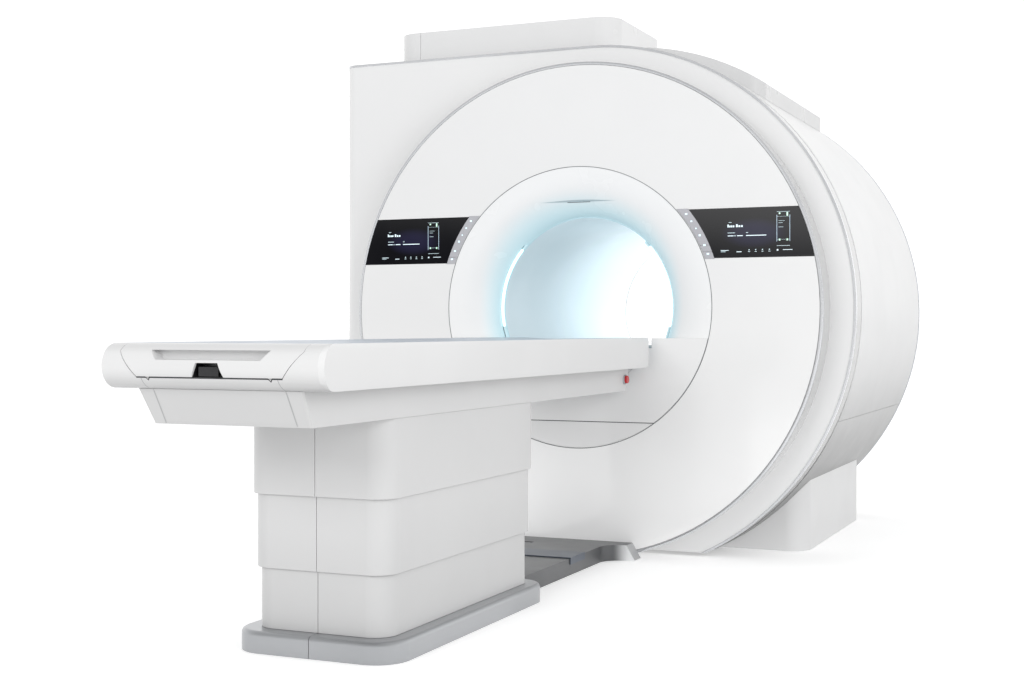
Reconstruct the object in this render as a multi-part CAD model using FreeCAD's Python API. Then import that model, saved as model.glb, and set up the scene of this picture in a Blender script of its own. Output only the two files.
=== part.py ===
import FreeCAD, Part
import math
import os

V = FreeCAD.Vector

# Whole-body magnetic resonance scanner with a sliding patient table.
# Millimetres. Origin on the floor under the middle of the magnet,
# +X to the right seen from the table, +Y from the table into the bore, +Z up.

# Driving sizes of the magnet
BORE_R = 375.0            # patient bore radius
BORE_Z = 1010.0           # height of the bore axis
MAGNET_HALF = 799.0       # middle of the magnet to its rear rim
FRONT_DEPTH = 229.0       # front rim of the magnet to the front disc
FACE_Y = -MAGNET_HALF - FRONT_DEPTH
FLARE_R = 574.0           # outer radius of the front trumpet
FLARE_DEPTH = 143.0       # front disc to the throat
DISC_R = 1013.0
DISC_Z = 1000.0           # height of the disc and barrel axis
DISC_STAND = 162.0        # disc face to surround face
PLATE_R = 1108.0
PLATE_LEFT = -1181.0
PLATE_DEPTH = 108.0
PLATE_CORNER_R = 60.0
BARREL_R = 1110.0
SKIN_BOTTOM_Z = 14.0      # covers stop short of the floor
FOOT_HALF_W = 855.0
FOOT_HALF_L = 596.0
FOOT_CORNER_R = 90.0

# Driving sizes of the table
TABLE_TOP_Z = 887.0
TABLE_HALF_W = 335.0
SLAB_H = 118.0
TABLE_FRONT = -2537.0
TABLE_REAR = -59.0        # from the disc face
CRADLE_T = 30.0
BASE_HALF_W = 267.0
BASE_FRONT = -2056.0
BASE_REAR = -937.0
BASE_H = 62.7
BASE_CORNER_R = 97.0
LIFT_TRAVEL = 360.0
MIDDLE_TRAVEL = 166.0

# Walls and gaps
SKIN = 6.0
THIN = 4.0
SEAM = 1.5                # visible joint between two covers
FIT = 0.2                 # seated pieces
RUN = 1.0                 # sliding pieces
CLEAR = 2.0


def at(y):
    """Distance from the disc face, as a Y of the part."""
    return FACE_Y + y


def save(name, *shapes):
    os.makedirs("parts", exist_ok=True)
    shape = shapes[0] if len(shapes) == 1 else Part.makeCompound(list(shapes))
    shape.exportStep("parts/%s.step" % name)


def box(x0, x1, y0, y1, z0, z1):
    return Part.makeBox(x1 - x0, y1 - y0, z1 - z0, V(x0, y0, z0))


def disc_y(radius, y0, y1, zc, xc=0.0):
    return Part.makeCylinder(radius, y1 - y0, V(xc, y0, zc), V(0, 1, 0))


def ring_y(outer, inner, y0, y1, zc):
    return disc_y(outer, y0, y1, zc).cut(disc_y(inner, y0 - 1, y1 + 1, zc))


def rod_z(radius, x, y, z0, z1):
    return Part.makeCylinder(radius, z1 - z0, V(x, y, z0), V(0, 0, 1))


def rod_x(radius, y, z, x0, x1):
    return Part.makeCylinder(radius, x1 - x0, V(x0, y, z), V(1, 0, 0))


def tube_z(outer, inner, x, y, z0, z1):
    return rod_z(outer, x, y, z0, z1).cut(rod_z(inner, x, y, z0 - 1, z1 + 1))


def face_of(edges):
    return Part.Face(Part.Wire(Part.__sortEdges__(edges)))


def prism_y(points, y0, y1):
    """Polygon of (x, z) points swept along Y."""
    wire = Part.makePolygon([V(x, y0, z) for x, z in points + points[:1]])
    return Part.Face(wire).extrude(V(0, y1 - y0, 0))


def prism_x(points, x0, x1):
    """Polygon of (y, z) points swept along X."""
    wire = Part.makePolygon([V(x0, y, z) for y, z in points + points[:1]])
    return Part.Face(wire).extrude(V(x1 - x0, 0, 0))


def fillet_upright(shape, radius, keep=lambda x, y: True):
    """Round the vertical edges that keep(x, y) accepts."""
    picked = []
    for edge in shape.Edges:
        a, b = edge.Vertexes[0].Point, edge.Vertexes[-1].Point
        upright = abs(a.x - b.x) < 0.01 and abs(a.y - b.y) < 0.01
        if upright and abs(a.z - b.z) > 1 and keep(a.x, a.y):
            picked.append(edge)
    return shape.makeFillet(radius, picked)


def block(half_w, y0, y1, z0, z1, radius):
    """Box centred on x = 0 with rounded upright edges."""
    return fillet_upright(box(-half_w, half_w, y0, y1, z0, z1), radius)


def turned(edges, zc):
    """Closed profile in the plane z = zc turned about the bore direction."""
    return face_of(edges).revolve(V(0, 0, zc), V(0, 1, 0), 360)


def curve(points):
    line = Part.BSplineCurve()
    line.interpolate([V(*p) for p in points])
    return line.toShape()


def right_half(shape):
    b = shape.BoundBox
    return shape.common(box(SEAM / 2, b.XMax + 1, b.YMin - 1, b.YMax + 1, b.ZMin - 1, b.ZMax + 1))


def left_half(shape):
    b = shape.BoundBox
    return shape.common(box(b.XMin - 1, -SEAM / 2, b.YMin - 1, b.YMax + 1, b.ZMin - 1, b.ZMax + 1))


def above(shape, z):
    b = shape.BoundBox
    return shape.common(box(b.XMin - 1, b.XMax + 1, b.YMin - 1, b.YMax + 1, z, b.ZMax + 1))


def below(shape, z):
    b = shape.BoundBox
    return shape.common(box(b.XMin - 1, b.XMax + 1, b.YMin - 1, b.YMax + 1, b.ZMin - 1, z))


# ---------------------------------------------------------------- magnet core

VESSEL_OUT = 950.0
VESSEL_IN = BORE_R + 90.0
VESSEL_HALF = MAGNET_HALF - 64.0
VESSEL_WALL = 12.0
LINER_OUT = BORE_R + 7.0
LINER_FRONT = at(FLARE_DEPTH)
LINER_REAR = MAGNET_HALF - 139.0
REAR_FLARE_R = BORE_R + 145.0


def cryostat_vessel():
    """Closed steel ring tank with the coils inside."""
    outer = ring_y(VESSEL_OUT, VESSEL_IN, -VESSEL_HALF, VESSEL_HALF, DISC_Z + FIT)
    room_half = VESSEL_HALF - VESSEL_WALL
    room = ring_y(VESSEL_OUT - VESSEL_WALL, VESSEL_IN + VESSEL_WALL, -room_half, room_half, DISC_Z + FIT)
    hoops = []
    seat = BARREL_R - SKIN - FIT
    for y in (-VESSEL_HALF + 35, VESSEL_HALF - 41):
        hoops.append(above(ring_y(seat, VESSEL_OUT - 1, y, y + SKIN, DISC_Z), SKIN_BOTTOM_Z + CLEAR))
    collar = ring_y(PLATE_R - SKIN - CLEAR - FIT, PLATE_R - SKIN - CLEAR - 9, at(DISC_STAND + PLATE_DEPTH - 32),
                    -VESSEL_HALF + 36, DISC_Z)
    hoops.append(above(collar, SKIN_BOTTOM_Z + SKIN + 2 * CLEAR))
    save("cryostat_vessel", outer.cut(room).fuse(hoops).removeSplitter())


def magnet_coils():
    """Superconducting windings on the inner tube of the tank."""
    inner = VESSEL_IN + VESSEL_WALL + FIT
    rings = []
    for middle, width, height in ((0.15, 80.0, 60.0), (0.42, 110.0, 70.0), (0.83, 190.0, 95.0)):
        for side in (-1, 1):
            y = side * middle * VESSEL_HALF
            rings.append(ring_y(inner + height, inner, y - width / 2, y + width / 2, DISC_Z + FIT))
    save("magnet_coils", *rings)


def magnet_feet():
    """Two steel saddles that carry the tank."""
    saddle_half, saddle_w, saddle_top = 60.0, 700.0, 420.0
    saddles = []
    for y in (-0.55 * VESSEL_HALF, 0.55 * VESSEL_HALF):
        plate = box(-saddle_w, saddle_w, y - saddle_half, y + saddle_half, 0, saddle_top)
        saddles.append(plate.cut(disc_y(VESSEL_OUT, y - 100, y + 100, DISC_Z)))
    beam_w, beam_h = 90.0, 36.0
    reach = 0.55 * VESSEL_HALF - saddle_half
    beams = [box(x - beam_w / 2, x + beam_w / 2, -reach, reach, 0, beam_h) for x in (-600.0, 600.0)]
    frame = saddles[0].fuse(saddles[1:] + beams).removeSplitter()
    save("magnet_feet", frame)


TURRET_X = -450.0
TURRET_Y = -440.0
TURRET_R = 130.0
TURRET_TOP = 2070.0


def service_turret():
    neck = rod_z(TURRET_R, TURRET_X, TURRET_Y, DISC_Z + VESSEL_OUT / 2, TURRET_TOP - 25)
    neck = neck.cut(disc_y(VESSEL_OUT + FIT, TURRET_Y - 300, TURRET_Y + 300, DISC_Z + FIT))
    flange = rod_z(TURRET_R + 30, TURRET_X, TURRET_Y, TURRET_TOP - 25, TURRET_TOP)
    lower = rod_z(70.0, TURRET_X, TURRET_Y, TURRET_TOP, TURRET_TOP + 80)
    motor = box(TURRET_X - 60, TURRET_X + 60, TURRET_Y - 95, TURRET_Y + 95, TURRET_TOP + 80, TURRET_TOP + 165)
    save("service_turret", neck.fuse([flange, lower, motor]).removeSplitter())


def gradient_coil():
    save("gradient_coil", ring_y(VESSEL_IN - FIT, LINER_OUT + 24, -620, 620, DISC_Z + FIT))


def rf_body_coil():
    """Birdcage coil: two end rings and sixteen rungs on the liner."""
    inner, thick, half, rungs, rung_w = LINER_OUT + FIT, 3.0, 260.0, 16, 22.0
    cage = ring_y(inner + thick, inner, -half - 20, -half + 20, BORE_Z)
    parts = [ring_y(inner + thick, inner, half - 20, half + 20, BORE_Z)]
    sleeve = ring_y(inner + thick, inner, -half, half, BORE_Z)
    for i in range(rungs):
        blade = box(-rung_w / 2, rung_w / 2, -half, half, BORE_Z + inner - 10, BORE_Z + inner + thick + 5)
        blade.rotate(V(0, 0, BORE_Z), V(0, 1, 0), i * 360.0 / rungs)
        parts.append(blade.common(sleeve))
    save("rf_body_coil", cage.fuse(parts))


LED_W = 12.0
LED_R = BORE_R + 4.0


def arc_band(r_in, r_out, y0, y1, start, end, zc):
    """Part of a ring between two angles, degrees from +X towards +Z."""
    quad = [V(r_in, y0, zc), V(r_out, y0, zc), V(r_out, y1, zc), V(r_in, y1, zc)]
    face = Part.Face(Part.makePolygon(quad + quad[:1]))
    face.rotate(V(0, 0, zc), V(0, 1, 0), -start)
    return face.revolve(V(0, 0, zc), V(0, 1, 0), -(end - start))


LED_SPANS = {"led_arc_left": (136.0, 199.0), "led_arc_right": (-19.0, 44.0)}
LED_Y = 108.0


def bore_liner():
    """Patient tube with a light ring let in at the rear."""
    tube = ring_y(LINER_OUT, BORE_R, LINER_FRONT, LINER_REAR, BORE_Z)
    rear = LINER_REAR - CLEAR - LED_W
    tube = tube.cut(ring_y(LED_R, BORE_R - 5, rear, rear + LED_W, BORE_Z))
    save("rear_led_ring", ring_y(LED_R - FIT, BORE_R, rear + FIT, rear + LED_W - FIT, BORE_Z))
    save("bore_liner", tube)


def trumpet_edges(r_big, r_small, depth, y_face, direction, steps=14):
    """Wall profile that leaves the face flat and ends along the bore."""
    inner, outer = [], []
    for i in range(steps + 1):
        t = math.pi / 2 * i / steps
        r = r_small + (r_big - r_small) * (1 - math.sin(t))
        y = depth * (1 - math.cos(t))
        nr, ny = depth * math.sin(t), (r_big - r_small) * math.cos(t)
        size = math.hypot(nr, ny)
        inner.append((r, y_face + direction * y, BORE_Z))
        outer.append((r + SKIN * nr / size, y_face + direction * (y + SKIN * ny / size), BORE_Z))
    return inner, outer


def trumpet(r_big, r_small, depth, y_face, direction):
    inner, outer = trumpet_edges(r_big, r_small, depth, y_face, direction)
    edges = [curve(inner), curve(outer)]
    edges.append(Part.makeLine(V(*inner[0]), V(*outer[0])))
    edges.append(Part.makeLine(V(*inner[-1]), V(*outer[-1])))
    return turned(edges, BORE_Z)


def flare_room(shrink):
    """Air inside the front trumpet, a little smaller or larger."""
    inner, _ = trumpet_edges(FLARE_R - shrink, BORE_R - shrink, FLARE_DEPTH, FACE_Y, 1)
    first, last = inner[0], inner[-1]
    edges = [curve(inner)]
    edges.append(Part.makeLine(V(*first), V(0, first[1], BORE_Z)))
    edges.append(Part.makeLine(V(0, first[1], BORE_Z), V(0, last[1], BORE_Z)))
    edges.append(Part.makeLine(V(0, last[1], BORE_Z), V(*last)))
    return turned(edges, BORE_Z)


LEDGE_Z = TABLE_TOP_Z - 2.0
BROW_Z = BORE_Z + 436.0
BROW_HALF = 50.0


def front_flare():
    shell = trumpet(FLARE_R, BORE_R, FLARE_DEPTH - FIT, FACE_Y, 1)
    slot = box(-BROW_HALF, BROW_HALF, at(0), at(90), BROW_Z - 4, BROW_Z + 4)
    window = box(-BROW_HALF + FIT, BROW_HALF - FIT, at(0), at(90), BROW_Z - 4 + FIT, BROW_Z + 4 - FIT)
    save("brow_window", window.common(shell))
    shell = above(shell.cut(slot), LEDGE_Z + FIT)
    y0, y1 = at(LED_Y), at(LED_Y + LED_W)
    for name, (start, end) in LED_SPANS.items():
        pocket = arc_band(BORE_R - SKIN, BORE_R + 4 * SKIN, y0, y1, start, end, BORE_Z)
        light = arc_band(BORE_R - SKIN, BORE_R + 4 * SKIN, y0 + FIT, y1 - FIT, start + 0.05, end - 0.05, BORE_Z)
        save(name, light.common(shell))
        shell = shell.cut(pocket)
    save("front_flare", shell)


REAR_FACE = MAGNET_HALF - 9.0


def rear_cover():
    """Rear closing plate and the rear trumpet behind it."""
    depth = REAR_FACE - LINER_REAR - FIT
    shell = trumpet(REAR_FLARE_R, BORE_R, depth, REAR_FACE, -1)
    plate = disc_y(BARREL_R - SKIN - CLEAR, REAR_FACE - SKIN, REAR_FACE, DISC_Z)
    plate = plate.cut(disc_y(REAR_FLARE_R + FIT, REAR_FACE - 50, REAR_FACE + 1, BORE_Z))
    rest = ring_y(REAR_FLARE_R + 12, REAR_FLARE_R - 6, REAR_FACE - SKIN - 8, REAR_FACE - SKIN - FIT, BORE_Z)
    save("rear_cover", above(plate, SKIN_BOTTOM_Z), shell.fuse(rest).removeSplitter())


BRIDGE_TOP = TABLE_TOP_Z - CRADLE_T - 7.0
BRIDGE_HALF = 300.0
NOTCH_HALF = TABLE_HALF_W - 8.0


def bore_bridge():
    """Fixed track that carries the sliding top through the bore."""
    plate = box(-BRIDGE_HALF, BRIDGE_HALF, at(30), LINER_REAR - 20, BRIDGE_TOP - 15, BRIDGE_TOP)
    webs = []
    for x in (-160.0, 160.0):
        webs.append(box(x - 10, x + 10, at(FLARE_DEPTH + 20), LINER_REAR - 20, BORE_Z - BORE_R, BRIDGE_TOP - 15))
    tracks = []
    for x in (-BRIDGE_HALF + 20, BRIDGE_HALF - 20):
        tracks.append(box(x - 12, x + 12, at(30), LINER_REAR - 20, BRIDGE_TOP, TABLE_TOP_Z - CRADLE_T - RUN))
    frame = plate.fuse(webs + tracks).removeSplitter()
    save("bore_bridge", frame.common(disc_y(BORE_R - FIT, at(0), MAGNET_HALF, BORE_Z)))


# ---------------------------------------------------------------- front panels

PANEL_T = SKIN
DISC_T = 10.0
DOCK_R = 349.0
LOWER_SEAM_Z = 545.0
DOCK_TOP = TABLE_TOP_Z - CRADLE_T - 12.0


def flare_panels():
    """Panels that close the lower part of the trumpet under the table height."""
    y0, y1 = at(0), at(PANEL_T)
    plate = disc_y(FLARE_R - SEAM, y0, y1, BORE_Z)
    upper = above(below(plate, LEDGE_Z), LOWER_SEAM_Z + SEAM / 2)
    upper = upper.cut(disc_y(DOCK_R + SEAM, y0 - 1, y1 + 1, BORE_Z))
    reach = disc_y(FLARE_R - 9, y0 - 1, at(FLARE_DEPTH), BORE_Z)
    room = flare_room(-SKIN + 1).common(reach)
    shelf = box(-FLARE_R, FLARE_R, y0 + 1, at(FLARE_DEPTH - 5), LEDGE_Z - 6, LEDGE_Z).common(room)
    notch = box(-NOTCH_HALF, NOTCH_HALF, y0 - 1, at(FLARE_DEPTH), DOCK_TOP, LEDGE_Z + 1)
    save("flare_panel_bottom", below(plate, LOWER_SEAM_Z - SEAM / 2))
    dock = below(disc_y(DOCK_R, y0, y1, BORE_Z), DOCK_TOP)
    rim = below(ring_y(DOCK_R, DOCK_R - 10, y0, at(24), BORE_Z), DOCK_TOP)
    save("dock_panel", dock.fuse(rim).removeSplitter())
    y_back = y1 + FIT
    stay = below(ring_y(DOCK_R + 18, DOCK_R - 14, y1 - 1, at(20), BORE_Z), DOCK_TOP - 10)
    stay = stay.cut(disc_y(DOCK_R + SEAM, y0, y_back, BORE_Z))
    stay = stay.cut(ring_y(DOCK_R + FIT, DOCK_R - 10 - FIT, y0, at(24 + FIT), BORE_Z))
    bar = box(-FLARE_R, FLARE_R, y1 - 1, at(26), LOWER_SEAM_Z - 20, LOWER_SEAM_Z + 20).common(reach)
    bar = bar.cut(box(-FLARE_R, FLARE_R, y0, y_back, LOWER_SEAM_Z - 30, LOWER_SEAM_Z + SEAM))
    post = box(-40, 40, y1 - 1, at(26), LOWER_SEAM_Z + 5, BORE_Z - DOCK_R - 12)
    save("flare_panel", upper.fuse([shelf, stay, bar, post]).cut(notch).removeSplitter())


SCREEN_BOTTOM = 1200.0
SCREEN_TOP = 1394.5
SCREEN_T = 6.0
TRIM_W = 13.0
SCREEN_IN_R = 615.5
KEY_IN_R = FLARE_R + 5.0
KEY_EXTRA = 3.0
KEY_SPLITS = (1252.0, 1226.0, SCREEN_BOTTOM - KEY_EXTRA)
KEY_TRAVEL = 1.0


def between(r_in, r_out, z0, z1, y0, y1):
    """Right-hand region between the bore circle and the disc circle."""
    region = disc_y(r_out, y0, y1, DISC_Z).cut(disc_y(r_in, y0 - 1, y1 + 1, BORE_Z))
    return region.common(box(0, DISC_R + 1, y0 - 1, y1 + 1, z0, z1))


def mirrored(shape, right):
    return shape if right else shape.mirror(V(0, 0, 0), V(1, 0, 0))


def displays():
    """Two black glass screens with a strip of keys beside each."""
    y0, y1 = at(0), at(SCREEN_T)
    edge = DISC_R - TRIM_W - SEAM
    glass = between(SCREEN_IN_R, edge, SCREEN_BOTTOM, SCREEN_TOP, y0, y1)
    strip = between(KEY_IN_R, SCREEN_IN_R + 60, SCREEN_BOTTOM - KEY_EXTRA, SCREEN_TOP + KEY_EXTRA, y0, y1)
    strip = strip.common(disc_y(SCREEN_IN_R - 0.5, y0 - 1, y1 + 1, BORE_Z))
    keys = []
    for high, low in zip(KEY_SPLITS[:-1], KEY_SPLITS[1:]):
        keys.append(strip.common(box(0, DISC_R, y0 - 1, y1 + 1, low, high - 0.8)))
        strip = strip.cut(box(0, DISC_R, y0 - 1, y1 + 1, low - 1, high))
    for side in ("left", "right"):
        right = side == "right"
        save("display_" + side, mirrored(glass, right))
        save("key_panel_" + side, mirrored(strip, right))
        for letter, key in zip("ab", keys):
            save("key_%s_%s" % (side, letter), mirrored(key, right))


def disc_cover():
    """Front disc: face plate with screen windows and a rim wall."""
    y0, y1 = at(0), at(DISC_T)
    edge = DISC_R - TRIM_W - SEAM / 2
    plate = disc_y(edge, y0, y1, DISC_Z).cut(disc_y(FLARE_R + SEAM, y0 - 1, y1 + 1, BORE_Z))
    floor = y0 + SCREEN_T + FIT
    low, high = SCREEN_BOTTOM - FIT, SCREEN_TOP + FIT
    windows = [between(SCREEN_IN_R - 1, edge + 5, low, high, y0 - 1, floor)]
    inner = disc_y(SCREEN_IN_R, y0 - 2, y1 + 2, BORE_Z)
    low, high = low - KEY_EXTRA, high + KEY_EXTRA
    windows.append(between(KEY_IN_R - 0.5, edge, low, high, y0 - 1, floor).common(inner))
    windows.append(between(KEY_IN_R - 0.5, edge, low, KEY_SPLITS[0], y0 - 1, floor + KEY_TRAVEL).common(inner))
    for window in windows:
        for right in (False, True):
            plate = plate.cut(mirrored(window, right))
    wall = ring_y(DISC_R - TRIM_W + 7, DISC_R - TRIM_W - 1, at(20), at(DISC_STAND), DISC_Z)
    neck = ring_y(DISC_R - TRIM_W - 1, edge - 12, y1 - 1, at(20), DISC_Z)
    foot = ring_y(DISC_R - TRIM_W + 1, edge - 12, at(20), at(20 + SKIN), DISC_Z)
    seat = ring_y(FLARE_R + 3, FLARE_R - 8, at(SKIN + 0.3), at(16), BORE_Z)
    shape = plate.fuse([neck, foot, wall, seat]).removeSplitter()
    save("disc_cover", above(shape, SKIN_BOTTOM_Z))


def disc_trim():
    """Bright metal hoop around the edge of the disc."""
    hoop = ring_y(DISC_R, DISC_R - TRIM_W, at(0), at(20 - FIT), DISC_Z)
    save("disc_trim", above(hoop, SKIN_BOTTOM_Z))


def plate_outline(inset, y0, y1):
    """D shape: round on the right, square on the upper left."""
    r = PLATE_R - inset
    left = PLATE_LEFT + inset
    low = SKIN_BOTTOM_Z + inset
    x_low = math.sqrt(r * r - (DISC_Z - low) ** 2)
    top = V(0, y0, DISC_Z + r)
    start = V(x_low, y0, low)
    edges = [Part.Arc(start, V(r, y0, DISC_Z), top).toShape()]
    edges.append(Part.makeLine(top, V(left, y0, DISC_Z + r)))
    edges.append(Part.makeLine(V(left, y0, DISC_Z + r), V(left, y0, low)))
    edges.append(Part.makeLine(V(left, y0, low), start))
    solid = face_of(edges).extrude(V(0, y1 - y0, 0))
    return fillet_upright(solid, PLATE_CORNER_R - inset, lambda x, y: x < left + 1 and y < y0 + 1)


BEAD_W = 9.0
BEAD_D = 18.0
BEAD_PROUD = 4.0


def surround():
    """D-shaped surround behind the disc and the metal bead on its front edge."""
    y0, y1 = at(DISC_STAND), at(DISC_STAND + PLATE_DEPTH)
    shell = plate_outline(0, y0, y1)
    room = plate_outline(SKIN + 2, y0 + SKIN + 2, y1 + 1)
    hole = disc_y(DISC_R - TRIM_W - 30, y0 - 1, y1 + 1, DISC_Z)
    high, wide = DISC_Z + PLATE_R + 2, PLATE_R + 2
    zone = box(PLATE_LEFT + 4, wide, y0 - BEAD_PROUD, y0 + BEAD_D, SKIN_BOTTOM_Z, high)
    bead = plate_outline(0, y0, y1).fuse(plate_outline(0, y0 - BEAD_PROUD, y1 - BEAD_PROUD))
    core = box(PLATE_LEFT - 1, 0, y0 - 9, y0 + BEAD_D + 1, 0, DISC_Z + PLATE_R - BEAD_W)
    core = core.fuse(disc_y(PLATE_R - BEAD_W, y0 - 9, y0 + BEAD_D + 1, DISC_Z))
    bead = bead.removeSplitter().common(zone).cut(core)
    groove = zone.cut(core.fuse(disc_y(PLATE_R - BEAD_W - FIT, y0 - 9, y0 + BEAD_D + 1, DISC_Z)))
    groove.translate(V(0, FIT, 0))
    save("surround_trim", bead)
    band = box(PLATE_LEFT, wide, y0 + BEAD_D + FIT, y0 + BEAD_D + SKIN + 2, 0, high)
    tongue = plate_outline(SKIN + 2, y0, y1).cut(plate_outline(BEAD_W + SKIN, y0, y1)).common(band)
    save("surround_plate", shell.cut(room).fuse(tongue).cut(hole).cut(groove).cut(bead).removeSplitter())


SEAM_ANGLE = -23.8


def barrel_cover():
    """Round jacket behind the surround: one upper shell, two lower ones."""
    y0, y1 = at(DISC_STAND + PLATE_DEPTH + 3), MAGNET_HALF - 22.0
    gap = math.degrees(SEAM / BARREL_R)
    upper = arc_band(BARREL_R - SKIN, BARREL_R, y0, y1, SEAM_ANGLE, 180 - SEAM_ANGLE, DISC_Z)
    lower = arc_band(BARREL_R - SKIN, BARREL_R, y0, y1, -89.9, SEAM_ANGLE - gap, DISC_Z)
    hole = rod_z(TURRET_R + 45, TURRET_X, TURRET_Y, DISC_Z, DISC_Z + BARREL_R + 1)
    save("barrel_cover_upper", upper.cut(hole))
    inset = SKIN + CLEAR
    opening = block(FOOT_HALF_W - inset, -FOOT_HALF_L + inset, FOOT_HALF_L - inset, -1, DISC_Z / 2,
                    FOOT_CORNER_R - inset)
    lower = above(lower, SKIN_BOTTOM_Z).cut(opening)
    save("barrel_cover_lower_right", lower)
    save("barrel_cover_lower_left", mirrored(lower, False))
    rim = ring_y(BARREL_R + 1, BARREL_R - 22, y1 + FIT, MAGNET_HALF, DISC_Z)
    lip = ring_y(BARREL_R - SKIN - FIT, BARREL_R - 22, y1 - 14, y1 + FIT, DISC_Z)
    rim = rim.cut(disc_y(BARREL_R - SKIN - CLEAR + FIT, REAR_FACE - SKIN - FIT, REAR_FACE + FIT, DISC_Z))
    save("rear_rim_trim", above(rim.fuse(lip).removeSplitter(), SKIN_BOTTOM_Z))


def foot_cover():
    """Skirt around the feet, trimmed to the round jacket above."""
    outer = block(FOOT_HALF_W, -FOOT_HALF_L, FOOT_HALF_L, 0, DISC_Z / 2, FOOT_CORNER_R)
    inner = block(FOOT_HALF_W - SKIN, -FOOT_HALF_L + SKIN, FOOT_HALF_L - SKIN, -1, DISC_Z / 2 + 1,
                  FOOT_CORNER_R - SKIN)
    shell = outer.cut(inner).cut(disc_y(BARREL_R + FIT, -FOOT_HALF_L - 1, FOOT_HALF_L + 1, DISC_Z))
    save("foot_cover", shell)


def hood(x0, x1, y0, y1, z_top, top_radius, corner, wall, bottom_radius):
    """Open-bottomed cover that sits on the round jacket."""
    solid = box(x0, x1, y0, y1, DISC_Z, z_top)
    solid = fillet_upright(solid, corner)
    if top_radius:
        solid = solid.common(disc_y(top_radius, y0 - 1, y1 + 1, DISC_Z))
    return solid.cut(disc_y(bottom_radius, y0 - 1, y1 + 1, DISC_Z))


TURRET_BOX = (-974.0, 75.0, 270.0, 932.0)
TURRET_BOX_TOP = 2253.0
TURRET_BOX_SEAM = -850.0
TOP_COVER = (80.0, 640.0, 561.0, 1790.0)
TOP_COVER_R = 1169.0


def top_covers():
    """Box over the cold head on the left, low curved cover on the right."""
    x0, x1, y0, y1 = TURRET_BOX
    y0, y1 = at(y0 + CLEAR), at(y1)
    solid = hood(x0, x1, y0, y1, TURRET_BOX_TOP, 0, 97.0, SKIN, BARREL_R + FIT)
    room = hood(x0 + SKIN, x1 - SKIN, y0 + SKIN, y1 - SKIN, TURRET_BOX_TOP - SKIN, 0, 91.0, SKIN, 1.0)
    shell = solid.cut(room)
    end = box(x0 - 1, TURRET_BOX_SEAM - SEAM, y0 - 1, y1 + 1, DISC_Z, TURRET_BOX_TOP + 1)
    main = box(TURRET_BOX_SEAM, x1 + 1, y0 - 1, y1 + 1, DISC_Z, TURRET_BOX_TOP + 1)
    save("turret_box", shell.common(main))
    save("turret_box_end", shell.common(end))
    x0, x1, y0, y1 = TOP_COVER
    y0, y1 = at(y0), at(y1)
    high = DISC_Z + TOP_COVER_R
    solid = hood(x0, x1, y0, y1, high, TOP_COVER_R, 60.0, SKIN, BARREL_R + FIT)
    room = hood(x0 + SKIN, x1 - SKIN, y0 + SKIN, y1 - SKIN, high, TOP_COVER_R - SKIN, 54.0, SKIN, 1.0)
    save("top_right_cover", solid.cut(room))


# ---------------------------------------------------------------- table

TIER_R = 70.0
TOP_TIER = (235.0, -2022.7, -961.0, 450.0)
MID_TIER = (227.5, -2013.7, -970.0, 237.5)
LOW_TIER = (219.0, -2005.6, -979.0, BASE_H)
UNDER_Z = TABLE_TOP_Z - 212.0
SLAB_BOTTOM = TABLE_TOP_Z - SLAB_H
LAP = 22.0
COLUMN_Y = (-1770.0, -1270.0)
COLUMN_R = (80.0, 70.0, 60.0)


def tier(spec, z0, z1):
    half_w, y0, y1, _ = spec
    outer = block(half_w, at(y0), at(y1), z0, z1, TIER_R)
    inner = block(half_w - THIN, at(y0) + THIN, at(y1) - THIN, z0 - 1, z1 + 1, TIER_R - THIN)
    return outer.cut(inner)


def tier_skirts():
    """Three telescoping skirts, each split down its centre line."""
    spans = {
        "low": (LOW_TIER, BASE_H + FIT, MID_TIER[3] + LAP),
        "mid": (MID_TIER, MID_TIER[3], TOP_TIER[3] + LAP),
        "top": (TOP_TIER, TOP_TIER[3], UNDER_Z - FIT),
    }
    for name, (spec, z0, z1) in spans.items():
        ring = tier(spec, z0, z1)
        save("skirt_%s_left" % name, left_half(ring))
        save("skirt_%s_right" % name, right_half(ring))


def base_covers():
    """Bright metal plinth in two halves over the steel base."""
    outer = block(BASE_HALF_W, at(BASE_FRONT), at(BASE_REAR), 0, BASE_H, BASE_CORNER_R)
    top_edges = [e for e in outer.Edges if e.BoundBox.ZMin > BASE_H - 0.01]
    outer = outer.makeFillet(14.0, top_edges)
    inner = block(BASE_HALF_W - SKIN, at(BASE_FRONT) + SKIN, at(BASE_REAR) - SKIN, -1, BASE_H - SKIN,
                  BASE_CORNER_R - SKIN)
    shell = outer.cut(inner)
    for y in COLUMN_Y:
        shell = shell.cut(rod_z(COLUMN_R[0] + CLEAR, 0, at(y), 0, BASE_H + 1))
    save("base_cover_left", left_half(shell))
    save("base_cover_right", right_half(shell))


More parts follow.
